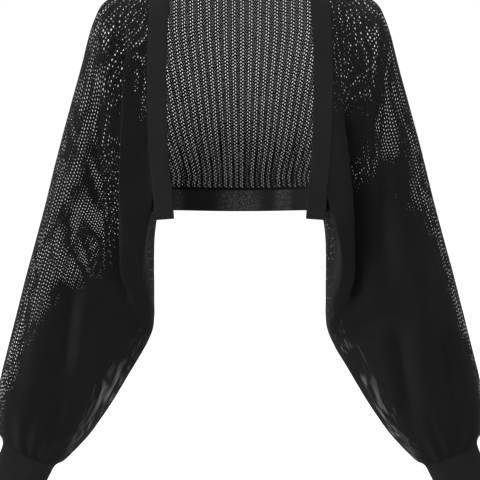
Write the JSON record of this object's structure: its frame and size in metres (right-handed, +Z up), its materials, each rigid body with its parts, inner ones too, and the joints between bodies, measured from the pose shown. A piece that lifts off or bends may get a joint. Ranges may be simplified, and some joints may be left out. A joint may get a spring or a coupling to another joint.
{
  "type": "cardigan",
  "caption": "Cropped open-front cardigan in open knit with wide batwing sleeves, plain front and neck band, hem band and narrow cuffs, worn and filled out with no wearer",
  "frame": {"origin": "midway between the two high shoulder points, where the wearer's shoulders carry the garment", "axes": "+Z up, +X towards the wearer's left, the open front faces -Y"},
  "size_m": [0.6574, 0.2245, 0.7297],
  "materials": {
    "open_knit": "matt black yarn in an open knit of paired eyelet columns",
    "fine_knit": "matt black yarn in a dense plain fine knit"
  },
  "bodies": {
    "root": {"back": "open_knit", "sleeve_left": "open_knit", "sleeve_right": "open_knit", "front_band": "fine_knit", "hem_band": "fine_knit", "cuff_left": "fine_knit", "cuff_right": "fine_knit"}
  },
  "joints": []
}
